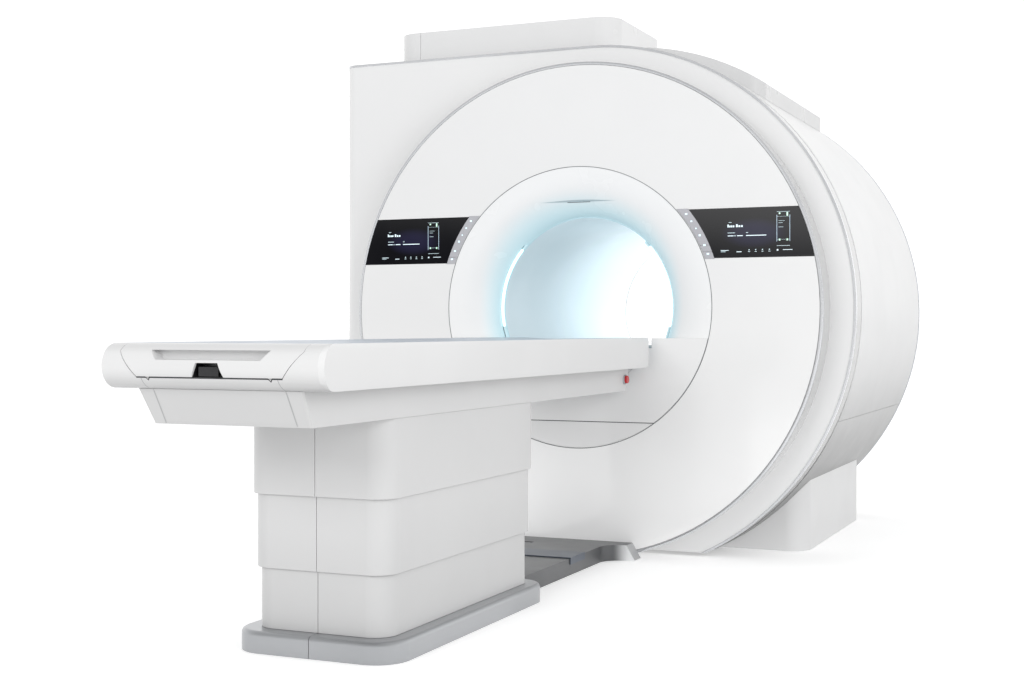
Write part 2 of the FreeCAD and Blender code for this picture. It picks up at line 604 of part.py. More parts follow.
def lift_columns():
    """Steel base with two three-stage columns and the frames they carry."""
    base = block(BASE_HALF_W - SKIN - 3, at(BASE_FRONT) + SKIN + 3, at(BASE_REAR) - SKIN - 3,
                 0, BASE_H - SKIN - FIT, BASE_CORNER_R - SKIN - 3)
    lower, middle, upper = [base], [], []
    low_top = MID_TIER[3] + 40
    mid_z = (MID_TIER[3] + 12, TOP_TIER[3] + 20)
    up_z = (TOP_TIER[3] - 8, UNDER_Z + THIN + FIT)
    wall, play = 8.0, 0.3
    for y in COLUMN_Y:
        lower.append(tube_z(COLUMN_R[0], COLUMN_R[1] + play, 0, at(y), BASE_H - SKIN - 1, low_top))
        middle.append(tube_z(COLUMN_R[1], COLUMN_R[2] + play, 0, at(y), mid_z[0], mid_z[1]))
        upper.append(tube_z(COLUMN_R[2], COLUMN_R[2] - wall, 0, at(y), up_z[0], up_z[1]))
    half_w, y0, y1, _ = MID_TIER
    spider = block(half_w - THIN - FIT, at(y0) + THIN + FIT, at(y1) - THIN - FIT, mid_z[1] - 14, mid_z[1],
                   TIER_R - THIN - FIT)
    for y in COLUMN_Y:
        spider = spider.cut(rod_z(COLUMN_R[2] + play, 0, at(y), 0, TABLE_TOP_Z))
    middle.append(spider)
    frame = box(-215, 215, at(TABLE_FRONT + 130), at(TABLE_REAR - 40), UNDER_Z + THIN + FIT, UNDER_Z + 30)
    for a, b in ((-2310, -1880), (-1660, -1380), (-1160, -180)):
        frame = frame.cut(box(-165, 165, at(a), at(b), UNDER_Z, UNDER_Z + 40))
    posts = []
    for y in (TABLE_FRONT + 170, -1500.0, TABLE_REAR - 80):
        for x in (-190.0, 190.0):
            posts.append(box(x - 20, x + 20, at(y) - 30, at(y) + 30, UNDER_Z + 30, SLAB_BOTTOM - FIT))
    save("column_lower", lower[0].fuse(lower[1:]).removeSplitter())
    save("column_middle", middle[0].fuse(middle[1:]).removeSplitter())
    save("column_upper", upper[0].fuse(upper[1:] + [frame] + posts).removeSplitter())


UNDER_TOP_HALF = 250.0
UNDER_LOW_HALF = 240.0
UNDER_FRONT_TOP = -2485.0
UNDER_FRONT_LOW = -2429.0
BUTTON_Y = -94.0
BUTTON_Z = TABLE_TOP_Z - 165.0
BUTTON_R = 15.5


def loft_tub(inset, z0, z1, rear):
    """Tapered housing: narrower and set back at its lower edge."""
    wires = []
    for z in (z0, z1):
        k = (z - UNDER_Z) / (SLAB_BOTTOM - UNDER_Z)
        half = UNDER_LOW_HALF + (UNDER_TOP_HALF - UNDER_LOW_HALF) * k - inset
        front = at(UNDER_FRONT_LOW + (UNDER_FRONT_TOP - UNDER_FRONT_LOW) * k + inset)
        cut = 5.0
        points = [(-half, rear), (-half, front + cut), (-half + cut, front), (half - cut, front),
                  (half, front + cut), (half, rear)]
        wires.append(Part.makePolygon([V(x, y, z) for x, y in points + points[:1]]))
    return Part.makeLoft(wires, True, True)


def underbody():
    """Housing under the table top, with a separate panel across the front."""
    rear = at(TABLE_REAR)
    outer = loft_tub(0, UNDER_Z, SLAB_BOTTOM - FIT, rear)
    inner = loft_tub(THIN, UNDER_Z + THIN, SLAB_BOTTOM + 1, rear - THIN)
    shell = outer.cut(inner)
    for y in COLUMN_Y:
        shell = shell.cut(rod_z(COLUMN_R[2] + CLEAR, 0, at(y), UNDER_Z - 1, UNDER_Z + THIN + 1))
    panel_half = 201.0
    window = box(-panel_half, panel_half, at(UNDER_FRONT_TOP) - 10, at(UNDER_FRONT_LOW) + 30,
                 UNDER_Z + THIN, SLAB_BOTTOM)
    lean = (UNDER_FRONT_TOP - UNDER_FRONT_LOW) / (SLAB_BOTTOM - UNDER_Z)
    y_low = at(UNDER_FRONT_LOW)
    y_top = y_low + lean * (SLAB_BOTTOM - FIT - UNDER_Z)
    y_mid = y_low + lean * (THIN + SEAM)
    plate = prism_x([(y_mid, UNDER_Z + THIN + SEAM), (y_top, SLAB_BOTTOM - FIT),
                     (y_top + SKIN, SLAB_BOTTOM - FIT), (y_mid + SKIN, UNDER_Z + THIN + SEAM)],
                    -panel_half + SEAM, panel_half - SEAM)
    shell = shell.cut(window)
    shell = shell.cut(rod_x(BUTTON_R - 6, at(BUTTON_Y), BUTTON_Z, UNDER_LOW_HALF - 20, UNDER_TOP_HALF + 5))
    save("underbody_cover", shell)
    clip = box(-panel_half - 8, panel_half + 8, y_top + SKIN + FIT, y_top + SKIN + 22,
               SLAB_BOTTOM - 18, SLAB_BOTTOM - FIT)
    tab = clip.common(loft_tub(THIN + FIT, UNDER_Z, SLAB_BOTTOM, rear))
    y_tie = y_top - 18 * lean + SKIN / 2
    save("underbody_front", plate.fuse(box(-60, 60, y_tie, y_top + SKIN + 22, SLAB_BOTTOM - 18,
                                           SLAB_BOTTOM - FIT)).fuse(tab).removeSplitter())


def stop_button():
    """Red push button in a collar on the right flank of the housing."""
    k = (BUTTON_Z - UNDER_Z) / (SLAB_BOTTOM - UNDER_Z)
    flank = UNDER_LOW_HALF + (UNDER_TOP_HALF - UNDER_LOW_HALF) * k
    y = at(BUTTON_Y)
    face = flank + 6
    collar = rod_x(BUTTON_R + 4, y, BUTTON_Z, flank - 3, face)
    collar = collar.cut(rod_x(BUTTON_R + 0.5, y, BUTTON_Z, flank - 4, face + 1))
    body = loft_tub(-FIT, UNDER_Z, SLAB_BOTTOM, at(TABLE_REAR) + FIT)
    collar = collar.cut(body)
    stem = rod_x(BUTTON_R - 7, y, BUTTON_Z, flank - 22, face)
    cap = rod_x(BUTTON_R, y, BUTTON_Z, face, face + 10)
    cap = cap.makeFillet(3.0, [e for e in cap.Edges if e.BoundBox.XMin > face + 9.9])
    save("stop_collar", collar)
    save("stop_button", stem.fuse(cap).removeSplitter())


CAP_TOP_HALF = 275.0
CAP_LOW_HALF = 218.0
CAP_BOTTOM = TABLE_TOP_Z - 86.0
CAP_DEPTH = 60.0
NOSE_CORNER = 20.0
NOSE_STEPS = 2
NOSE_REACH = 3.0 * (TABLE_REAR - TABLE_FRONT)
RAIL_IN = 284.0


def slab_profile():
    """Cross-section of the table top: crisp lower corners, swollen sides."""
    w, z0, z1 = TABLE_HALF_W, SLAB_BOTTOM, TABLE_TOP_Z
    pts = [(w - 4, z0), (w - 1, z0 + 24), (w, z0 + 70), (w - 1, z1 - 14), (w - 4, z1)]
    return pts + [(-x, z) for x, z in reversed(pts)]


def bull_nose(x0, y0, x1, y1):
    """Bull-nosed run of table top whose front line goes from one plan point to another."""
    r = SLAB_H / 2
    rear = y0 + NOSE_REACH
    low, mid, high = SLAB_BOTTOM, SLAB_BOTTOM + r, TABLE_TOP_Z
    side = [Part.Arc(V(x0, y0 + r, low), V(x0, y0, mid), V(x0, y0 + r, high)).toShape(),
            Part.makeLine(V(x0, y0 + r, high), V(x0, rear, high)),
            Part.makeLine(V(x0, rear, high), V(x0, rear, low)),
            Part.makeLine(V(x0, rear, low), V(x0, y0 + r, low))]
    return face_of(side).extrude(V(x1 - x0, y1 - y0, 0))


def nose_trim(y_front, corner):
    """Front end of the table top, with the same plan corners at every height."""
    w = TABLE_HALF_W + 1
    solid = bull_nose(-w, y_front, w, y_front)
    for k in range(1, NOSE_STEPS):
        angle = math.pi / 2 * k / NOSE_STEPS
        tx = TABLE_HALF_W - corner + corner * math.sin(angle)
        ty = y_front + corner - corner * math.cos(angle)
        slope = math.tan(angle)
        for side in (-1, 1):
            solid = solid.common(bull_nose(-side * w, ty - slope * (tx + w), side * w, ty + slope * (w - tx)))
    return solid


def table_top():
    """Slab shell, sliding cradle, its end cap and the release lever."""
    y0, y1 = at(TABLE_FRONT), at(TABLE_REAR)
    solid = prism_y(slab_profile(), y0, y1).common(nose_trim(y0, NOSE_CORNER))
    channel_top = TABLE_TOP_Z - CRADLE_T - RUN
    deck_half = TABLE_HALF_W - 14.0
    floor = SLAB_BOTTOM + SKIN
    inner_half = TABLE_HALF_W - 12.0 - SKIN
    room = box(-inner_half, inner_half, y0 + CAP_DEPTH + 60, y1 - SKIN, floor, TABLE_TOP_Z + 1)
    deck = box(-deck_half, deck_half, y0 + CAP_DEPTH - RUN, y1 + 1, channel_top, TABLE_TOP_Z + 1)
    lip = prism_y([(-CAP_TOP_HALF - SEAM, TABLE_TOP_Z + 2), (-CAP_TOP_HALF - SEAM, TABLE_TOP_Z - 20),
                   (-CAP_LOW_HALF - SEAM, CAP_BOTTOM - SEAM), (CAP_LOW_HALF + SEAM, CAP_BOTTOM - SEAM),
                   (CAP_TOP_HALF + SEAM, TABLE_TOP_Z - 20), (CAP_TOP_HALF + SEAM, TABLE_TOP_Z + 2)],
                  y0 - 1, y0 + CAP_DEPTH + 62)
    shell = solid.cut(deck).cut(room).cut(lip)
    rails = []
    for side in (-1, 1):
        x0, x1 = sorted((side * RAIL_IN, side * inner_half))
        rails.append(box(x0, x1, y0 + CAP_DEPTH + 60, y1 - SKIN, channel_top - 12, channel_top))
    shell = shell.fuse(rails).removeSplitter()
    save("slab_shell", shell)
    top = prism_y(slab_profile(), y0, y1).common(nose_trim(y0, NOSE_CORNER))
    cradle = top.common(box(-deck_half + RUN, deck_half - RUN, y0 + CAP_DEPTH, y1 + 1,
                            TABLE_TOP_Z - CRADLE_T, TABLE_TOP_Z + 1))
    dished = disc_y(3200.0, y0 + CAP_DEPTH + 80, y1 + 1, TABLE_TOP_Z + 3200.0 - 6.0)
    save("cradle", cradle.cut(dished))
    cap_shape = prism_y([(-CAP_TOP_HALF, TABLE_TOP_Z + 2), (-CAP_TOP_HALF, TABLE_TOP_Z - 20),
                         (-CAP_LOW_HALF, CAP_BOTTOM), (CAP_LOW_HALF, CAP_BOTTOM),
                         (CAP_TOP_HALF, TABLE_TOP_Z - 20), (CAP_TOP_HALF, TABLE_TOP_Z + 2)],
                        y0 - 1, y0 + CAP_DEPTH - FIT)
    cap = top.common(cap_shape)
    grip = prism_y([(-179, TABLE_TOP_Z - 17), (-158, TABLE_TOP_Z - 42), (158, TABLE_TOP_Z - 42),
                    (179, TABLE_TOP_Z - 17)], y0 - 1, y0 + 44)
    latch_room = prism_y([(-33, CAP_BOTTOM + 37), (-48, CAP_BOTTOM - 1), (48, CAP_BOTTOM - 1),
                          (33, CAP_BOTTOM + 37)], y0 - 1, y0 + 40)
    cap = cap.cut(grip).cut(latch_room)
    pin_z, pin_y = CAP_BOTTOM + 22.0, y0 + 24.0
    pin = rod_x(2.0, pin_y, pin_z, -60, 60)
    under = box(-CAP_LOW_HALF + 20, CAP_LOW_HALF - 20, y0 + CAP_DEPTH - FIT - 14, y0 + CAP_DEPTH - FIT,
                CAP_BOTTOM, TABLE_TOP_Z - CRADLE_T)
    save("cradle_end_cap", cap.fuse([pin, under]).removeSplitter())
    lever = box(-30, 30, y0 + 10, y0 + 17, CAP_BOTTOM + 3, pin_z + 5)
    arm = box(-30, 30, y0 + 10, pin_y + 5, pin_z - 5, pin_z + 5)
    lever = lever.fuse(arm).cut(rod_x(2.1, pin_y, pin_z, -61, 61))
    save("release_lever", lever.removeSplitter())


ROLLER_R = 25.0
ROLLER_Y = -150.0


def cradle_drive():
    """Friction wheel and motor that push the cradle from below."""
    y = at(ROLLER_Y)
    z = TABLE_TOP_Z - CRADLE_T - 0.3 - ROLLER_R
    shaft_r = 8.0
    wheel = rod_x(ROLLER_R, y, z, -20, 20).cut(rod_x(shaft_r + 0.05, y, z, -21, 21))
    save("drive_roller", wheel)
    floor = SLAB_BOTTOM + SKIN + FIT
    shaft = rod_x(shaft_r, y, z, -40, 60)
    motor = rod_x(ROLLER_R - 3, y, z, 60, 200)
    stand = [box(-40, -30, y - 20, y + 20, floor, z + 12), box(60, 190, y - 18, y + 18, floor, z)]
    save("drive_motor", shaft.fuse([motor] + stand).removeSplitter())


def floor_tray():
    """Dark metal duct between the table base and the magnet."""
    half, wing, edge = 165.0, 247.0, 282.0
    y_base = at(BASE_REAR) + 0.3
    bend = wing - half - 2
    y_bend, y_wing, y_end = at(-77) - bend, at(-77), at(-0.3)
    low = math.sin(math.pi / 4) * bend
    edges = []
    for side in (-1, 1):
        a, b = V(side * half, y_bend, 0), V(side * (half + bend), y_wing, 0)
        mid = V(side * (half + bend - low), y_bend + low, 0)
        edges += [Part.makeLine(V(side * half, y_base, 0), a), Part.Arc(a, mid, b).toShape()]
        edges += [Part.makeLine(b, V(side * wing, y_wing, 0)),
                  Part.makeLine(V(side * wing, y_wing, 0), V(side * wing, y_end, 0))]
    edges.append(Part.makeLine(V(-half, y_base, 0), V(half, y_base, 0)))
    edges.append(Part.makeLine(V(-wing, y_end, 0), V(wing, y_end, 0)))
    duct = face_of(edges).extrude(V(0, 0, BASE_H))
    ramps = []
    for side in (-1, 1):
        ramps.append(prism_y([(side * (wing - 1), 0), (side * edge, 0), (side * edge, THIN),
                              (side * wing, BASE_H), (side * (wing - 1), BASE_H)], at(-77), at(-0.3)))
    inner_plan = [(-half + THIN, y_base + THIN), (half - THIN, y_base + THIN), (half - THIN, at(-0.3 - THIN)),
                  (-half + THIN, at(-0.3 - THIN))]
    wire = Part.makePolygon([V(x, y, -1) for x, y in inner_plan + inner_plan[:1]])
    duct = duct.fuse(ramps).removeSplitter().cut(Part.Face(wire).extrude(V(0, 0, BASE_H - THIN + 1)))
    duct = duct.cut(box(-170, -126, at(-158), at(-134), BASE_H - THIN - 1, BASE_H + 1))
    strip_y0, strip_y1 = at(-482.0), at(-331.0)
    strip = box(-half - THIN, half + THIN, strip_y0, strip_y1, BASE_H - 22, BASE_H + THIN)
    strip = strip.cut(box(-half - FIT, half + FIT, strip_y0 - 1, strip_y1 + 1, 0, BASE_H + FIT))
    save("floor_tray", duct)
    save("tray_strip", strip)


def main():
    for build in (cryostat_vessel, magnet_coils, magnet_feet, service_turret, gradient_coil,
                  rf_body_coil, bore_liner, front_flare, rear_cover, bore_bridge, flare_panels, displays,
                  disc_cover, disc_trim, surround, barrel_cover, foot_cover, top_covers, base_covers,
                  tier_skirts, lift_columns, underbody, stop_button, table_top, cradle_drive, floor_tray):
        build()


main()
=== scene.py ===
"""MRI scanner: finishes, lit parts and small details over the CAD frame, in metres."""
import math

import bpy
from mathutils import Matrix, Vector


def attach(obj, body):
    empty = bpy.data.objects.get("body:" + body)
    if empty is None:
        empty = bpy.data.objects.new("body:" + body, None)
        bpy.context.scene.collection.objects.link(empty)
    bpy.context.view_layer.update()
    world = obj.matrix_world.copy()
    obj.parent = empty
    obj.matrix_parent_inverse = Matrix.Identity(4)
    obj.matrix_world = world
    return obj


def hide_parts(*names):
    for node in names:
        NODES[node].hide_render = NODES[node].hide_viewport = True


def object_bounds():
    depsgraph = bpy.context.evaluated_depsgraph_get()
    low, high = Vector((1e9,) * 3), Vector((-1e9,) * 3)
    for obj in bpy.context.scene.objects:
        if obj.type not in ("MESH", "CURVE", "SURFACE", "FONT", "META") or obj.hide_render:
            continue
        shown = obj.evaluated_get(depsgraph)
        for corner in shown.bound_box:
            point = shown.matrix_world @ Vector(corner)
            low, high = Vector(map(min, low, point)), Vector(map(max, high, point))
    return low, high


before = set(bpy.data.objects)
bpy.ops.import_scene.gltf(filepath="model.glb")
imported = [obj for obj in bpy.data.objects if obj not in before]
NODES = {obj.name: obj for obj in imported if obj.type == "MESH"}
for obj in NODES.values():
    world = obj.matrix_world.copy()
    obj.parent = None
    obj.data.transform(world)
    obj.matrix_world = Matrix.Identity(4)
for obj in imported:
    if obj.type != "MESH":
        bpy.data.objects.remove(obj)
CAD_LOW, CAD_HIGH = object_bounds()

# ---------------------------------------------------------------- sizes, in metres
BORE_R = 0.375
BORE_Z = 1.010
FACE_Y = -1.028
FLARE_R = 0.574
TABLE_TOP = 0.887
TABLE_FRONT = FACE_Y - 2.537
SLAB_R = 0.059
SLAB_MID = TABLE_TOP - SLAB_R
SCREEN_TOP = 1.380
SCREEN_LEFT = {"left": -0.9053, "right": 0.6025}
KEY_ANGLES = (37.9, 34.4, 31.1, 28.1, 23.9, 20.3)
KEY_R = 0.597
MARK_SIZES = ((0.005, 0.0035), (0.004, 0.003), (0.003, 0.003), (0.0042, 0.0042), (0.0052, 0.0035),
              (0.0052, 0.0035))
LOWER_SEAM_Z = 0.545
CAP_LOW_HALF = 0.218
CAP_GAP_Z = TABLE_TOP - 0.0868
NOTCH_X = 0.184
UNDER_TOP_Y = FACE_Y - 2.485
UNDER_LOW_Y = FACE_Y - 2.429
UNDER_TOP_Z = TABLE_TOP - 0.118
UNDER_LOW_Z = TABLE_TOP - 0.212
UNDER_SEAM_X = 0.2003
UNDER_PROUD = 0.0004
BROW_HALF = 0.172
BROW_LOW = 1.4438
BROW_TALL = 0.0085
BROW_BACKING = ("front_flare", "brow_window", "bore_liner")
TRAY_HIGHLIGHT_X = (0.195, 0.262)
WORLD_FRONT = 0.66
WORLD_SIDE = 1.28
WORLD_RIGHT = 1.20
WORLD_TOP = 0.60
WORLD_BELOW = 0.12
FLOOR_HALF = 400.0
FLOOR_GLOW = 0.34
LENS = 51.09                 # millimetres, on a sensor of this width
SENSOR = 36.0
CAMERA_SHIFT = -0.01305
CAMERA_AT = (2.155, -6.5716, 0.925)
CAMERA_TURN = 23.735         # degrees
KEY_POWER = 150.0
FILL_POWER = 110.0
BUMP_DEPTH = 0.0004
PROUD = 0.0003               # how far a laid-on line stands off its surface
STRIP_Y = FACE_Y + 0.114     # light strips inside the mouth
STRIP_R = BORE_R + 0.0005
STRIP_THICK = 0.0058
GROOVE_THICK = 0.0050
NOSE_SEAM_X = 0.205
NOSE_SEAM_TOP = 0.7995
NOSE_SEAM_FALL = 0.030
LATCH_HALF = 0.050
LATCH_TOP = TABLE_TOP - 0.049
LATCH_DEPTH = 0.0081         # where the latch window's walls begin, behind the table's front
WHITE = (1.0, 1.0, 1.0)


# ---------------------------------------------------------------- node helpers
def blank(name):
    """New material with its node tree and shader."""
    mat = bpy.data.materials.new(name)
    mat.use_nodes = True
    tree = mat.node_tree
    return mat, tree, tree.nodes["Principled BSDF"]


def coords(tree):
    """Object coordinates, which are the frame's own at rest."""
    return tree.nodes.new("ShaderNodeTexCoord").outputs["Object"]


def noise(tree, scale, detail=3.0):
    """Noise in object space."""
    tex = tree.nodes.new("ShaderNodeTexNoise")
    tex.inputs["Scale"].default_value = scale
    tex.inputs["Detail"].default_value = detail
    tree.links.new(coords(tree), tex.inputs["Vector"])
    return tex.outputs["Fac"]


def ramp(tree, value, low, high, out_low=0.0, out_high=1.0):
    """Clamped, eased map of a value to a new range."""
    node = tree.nodes.new("ShaderNodeMapRange")
    node.interpolation_type = "SMOOTHSTEP"
    node.inputs["From Min"].default_value = low
    node.inputs["From Max"].default_value = high
    node.inputs["To Min"].default_value = out_low
    node.inputs["To Max"].default_value = out_high
    tree.links.new(value, node.inputs["Value"])
    return node.outputs["Result"]


def maths(tree, kind, a, b=None):
    """Result of one operation on sockets or numbers."""
    node = tree.nodes.new("ShaderNodeMath")
    node.operation = kind
    for socket, value in zip(node.inputs, (a, b)):
        if value is None:
            continue
        if isinstance(value, (int, float)):
            socket.default_value = value
        else:
            tree.links.new(value, socket)
    return node.outputs[0]


def blend_colour(tree, factor, first, second, kind="MIX"):
    """First colour where the factor is 0, second where it is 1."""
    node = tree.nodes.new("ShaderNodeMix")
    node.data_type = "RGBA"
    node.blend_type = kind
    if isinstance(factor, (int, float)):
        node.inputs["Factor"].default_value = factor
    else:
        tree.links.new(factor, node.inputs["Factor"])
    for socket, value in ((node.inputs[6], first), (node.inputs[7], second)):
        if isinstance(value, tuple):
            socket.default_value = (*value, 1.0)
        else:
            tree.links.new(value, socket)
    return node.outputs[2]


def blend_value(tree, factor, first, second):
    """First where the factor is 0, second where it is 1."""
    node = tree.nodes.new("ShaderNodeMix")
    node.data_type = "FLOAT"
    for socket, value in zip((node.inputs[0], node.inputs[2], node.inputs[3]), (factor, first, second)):
        if isinstance(value, (int, float)):
            socket.default_value = value
        else:
            tree.links.new(value, socket)
    return node.outputs[0]


def split(tree, vector):
    """X, Y and Z of a vector."""
    node = tree.nodes.new("ShaderNodeSeparateXYZ")
    tree.links.new(vector, node.inputs[0])
    return node.outputs


def bump(tree, shader, scale, strength):
    """Fine uneven surface."""
    node = tree.nodes.new("ShaderNodeBump")
    node.inputs["Strength"].default_value = strength
    node.inputs["Distance"].default_value = BUMP_DEPTH
    tree.links.new(noise(tree, scale, 2.0), node.inputs["Height"])
    tree.links.new(node.outputs["Normal"], shader.inputs["Normal"])


def paint(name, low, high, rough, metal=0.0, spec=0.5, coat=0.0, grain=2.5, skin=(45.0, 0.02)):
    """Coloured finish with slight drift in tone, gloss and surface."""
    mat, tree, shader = blank(name)
    tone = noise(tree, grain)
    colour = blend_colour(tree, ramp(tree, tone, 0.35, 0.65), low, high)
    tree.links.new(colour, shader.inputs["Base Color"])
    gloss = ramp(tree, noise(tree, grain * 3.0, 2.0), 0.2, 0.8, *rough)
    tree.links.new(gloss, shader.inputs["Roughness"])
    shader.inputs["Metallic"].default_value = metal
    shader.inputs["Specular IOR Level"].default_value = spec
    shader.inputs["Coat Weight"].default_value = coat
    shader.inputs["Coat Roughness"].default_value = 0.06
    bump(tree, shader, *skin)
    return mat


def shade_by(tree, factor, low, high):
    """Multiplies the finish by a colour that runs from low to high with the factor, which paints shade and
    tinted light into it.
    """
    shader = tree.nodes["Principled BSDF"]
    shade = blend_colour(tree, factor, low, high)
    old = shader.inputs["Base Color"].links[0].from_socket
    tree.links.new(blend_colour(tree, 1.0, old, shade, "MULTIPLY"), shader.inputs["Base Color"])


def paint_in_shading(tree, factor, colour):
    """Replaces the finish's colour where the factor is 1, to paint in highlights and shades."""
    shader = tree.nodes["Principled BSDF"]
    old = shader.inputs["Base Color"].links[0].from_socket
    tree.links.new(blend_colour(tree, factor, old, colour), shader.inputs["Base Color"])


def grey(value):
    return (value, value, value)


def place(tree):
    """X, Y and Z of the point being shaded, at rest."""
    return split(tree, coords(tree))


def facing(tree):
    """X, Y and Z of the true normal."""
    return split(tree, tree.nodes.new("ShaderNodeNewGeometry").outputs["True Normal"])


def radius(tree, centre_z):
    """Distance from an axis along Y at a height."""
    x, _, z = place(tree)
    up = maths(tree, "SUBTRACT", z, centre_z)
    squares = maths(tree, "ADD", maths(tree, "MULTIPLY", x, x), maths(tree, "MULTIPLY", up, up))
    return maths(tree, "SQRT", squares)


def paint_wall_shade(mat, wall, low_wall):
    """Painted shade: darker where a face looks sideways rather than to the front or back, more so near the
    floor.
    """
    tree = mat.node_tree
    side = ramp(tree, maths(tree, "ABSOLUTE", facing(tree)[1]), 0.15, 0.85)
    level = ramp(tree, place(tree)[2], 0.20, 0.85)
    shade_by(tree, side, blend_colour(tree, level, grey(low_wall), grey(wall)), WHITE)
    return mat


def paint_low_shade(mat, low_z, high_z, low):
    """Painted shade: darker toward the floor, as in the shade of the machine itself."""
    tree = mat.node_tree
    shade_by(tree, ramp(tree, place(tree)[2], low_z, high_z), grey(low), WHITE)
    return mat


def paint_top_shade(mat, top):
    """Painted shade: darker on the faces that look up."""
    tree = mat.node_tree
    shade_by(tree, ramp(tree, facing(tree)[2], 0.5, 0.95), WHITE, grey(top))
    return mat


def glow(mat, colour, strength):
    """Own light, for lit parts and for painted light; the strength may be a number or a socket."""
    tree = mat.node_tree
    shader = tree.nodes["Principled BSDF"]
    if isinstance(colour, tuple):
        shader.inputs["Emission Color"].default_value = (*colour, 1.0)
    else:
        tree.links.new(colour, shader.inputs["Emission Color"])
    if isinstance(strength, (int, float)):
        shader.inputs["Emission Strength"].default_value = strength
    else:
        tree.links.new(strength, shader.inputs["Emission Strength"])
    return mat


def paint_floor_bounce(mat, low_z, high_z, strength):
    """Painted light: a glow on the lower part that stands in for light thrown back by the floor."""
    tree = mat.node_tree
    return glow(mat, WHITE, ramp(tree, place(tree)[2], low_z, high_z, strength, 0.0))


# ---------------------------------------------------------------- finishes
GLOSS_WHITE = paint("gloss_white", (0.825, 0.827, 0.830), (0.840, 0.842, 0.845), (0.12, 0.16), coat=0.30)
COVER_WHITE = paint("cover_white", (0.775, 0.777, 0.780), (0.790, 0.792, 0.795), (0.22, 0.28), coat=0.15)
PLATE_WHITE = paint("plate_white", (0.830, 0.832, 0.835), (0.842, 0.844, 0.846), (0.20, 0.24), coat=0.2)
DISC_WHITE = paint("disc_white", (0.832, 0.834, 0.836), (0.845, 0.847, 0.848), (0.06, 0.09), coat=0.55)
BARREL_WHITE = paint("barrel_white", (0.800, 0.803, 0.807), (0.820, 0.823, 0.827), (0.30, 0.36), coat=0.1)
TABLE_WHITE = paint("table_white", (0.765, 0.766, 0.768), (0.780, 0.781, 0.783), (0.28, 0.33), coat=0.12)
CAP_WHITE = paint("cap_white", (0.765, 0.766, 0.768), (0.780, 0.781, 0.783), (0.28, 0.33), coat=0.12)
UNDER_WHITE = paint("under_white", (0.700, 0.701, 0.703), (0.715, 0.716, 0.718), (0.34, 0.38), coat=0.08)
TIER_WHITE = paint("tier_white", (0.675, 0.676, 0.678), (0.690, 0.691, 0.693), (0.34, 0.38), coat=0.08)
RIGHT_WHITE = paint("right_cover_white", (0.665, 0.667, 0.670), (0.680, 0.682, 0.685), (0.26, 0.32),
                    coat=0.12)
FOOT_WHITE = paint("foot_white", (0.74, 0.742, 0.745), (0.76, 0.762, 0.765), (0.30, 0.36))
CRADLE_GREY = paint("cradle_grey", (0.44, 0.49, 0.56), (0.49, 0.54, 0.61), (0.34, 0.42))
SILVER = paint("silver_paint", (0.40, 0.41, 0.425), (0.44, 0.45, 0.465), (0.28, 0.32), metal=0.85, grain=1.5)
BRIGHT = paint("bright_metal", (0.62, 0.63, 0.65), (0.70, 0.71, 0.73), (0.20, 0.26), metal=0.9)
GREY_RIM = paint("grey_rim", (0.42, 0.45, 0.50), (0.48, 0.51, 0.56), (0.25, 0.30), metal=0.6)
TRAY = paint("tray_metal", (0.108, 0.111, 0.116), (0.126, 0.129, 0.134), (0.30, 0.36), metal=0.35)
STRIP = paint("strip_metal", (0.080, 0.098, 0.128), (0.095, 0.113, 0.145), (0.30, 0.36), metal=0.3)
KEY_GREY = paint("key_grey", (0.46, 0.46, 0.49), (0.50, 0.50, 0.53), (0.35, 0.42))
STEEL = paint("bare_steel", (0.42, 0.43, 0.44), (0.52, 0.53, 0.54), (0.28, 0.38), metal=1.0, grain=8.0)
COPPER = paint("copper_coil", (0.62, 0.30, 0.17), (0.72, 0.38, 0.22), (0.30, 0.40), metal=1.0, grain=20.0)
RESIN = paint("cast_resin", (0.55, 0.50, 0.38), (0.62, 0.56, 0.43), (0.40, 0.50), grain=10.0)
RUBBER = paint("roller_rubber", (0.020, 0.020, 0.022), (0.035, 0.035, 0.038), (0.60, 0.75), grain=30.0)
BLACK = paint("black_plastic", (0.012, 0.012, 0.014), (0.020, 0.020, 0.023), (0.22, 0.30), grain=12.0)
DARK_GAP = paint("dark_gap", (0.055, 0.056, 0.060), (0.070, 0.072, 0.076), (0.5, 0.6), grain=20.0, spec=0.2)
GREY_GAP = paint("grey_gap", (0.20, 0.21, 0.22), (0.24, 0.25, 0.26), (0.45, 0.55), grain=20.0, spec=0.2)
SOFT_GAP = paint("soft_gap", (0.50, 0.505, 0.51), (0.53, 0.535, 0.54), (0.45, 0.55), grain=20.0, spec=0.2)
PALE_GAP = paint("pale_gap", (0.40, 0.41, 0.42), (0.44, 0.45, 0.46), (0.45, 0.55), grain=20.0, spec=0.2)
RED = paint("stop_red", (0.55, 0.012, 0.018), (0.65, 0.016, 0.022), (0.20, 0.28), coat=0.4, grain=30.0)


# Painted shade and painted light on the whites: darker side walls, darker toward the floor, darker faces that
# look up, and a glow on the disc's lower part.
paint_wall_shade(PLATE_WHITE, 0.70, 0.36)
paint_wall_shade(DISC_WHITE, 0.72, 0.72)
paint_floor_bounce(DISC_WHITE, 0.25, 0.80, 0.12)
paint_low_shade(BARREL_WHITE, 0.22, 0.90, 0.26)
paint_low_shade(TIER_WHITE, 0.05, 0.45, 0.86)
paint_top_shade(TABLE_WHITE, 0.88)
paint_top_shade(CAP_WHITE, 0.88)


def paint_tray_highlight():
    """Painted highlight: the flared side of the tray is painted near-white where it catches the light, more
    so away from the table.
    """
    tree = TRAY.node_tree
    upright = ramp(tree, facing(tree)[2], 0.3, 0.7, 1.0, 0.0)
    outward = ramp(tree, place(tree)[0], *TRAY_HIGHLIGHT_X)
    paint_in_shading(tree, maths(tree, "MULTIPLY", upright, outward), (0.95, 0.96, 0.97))


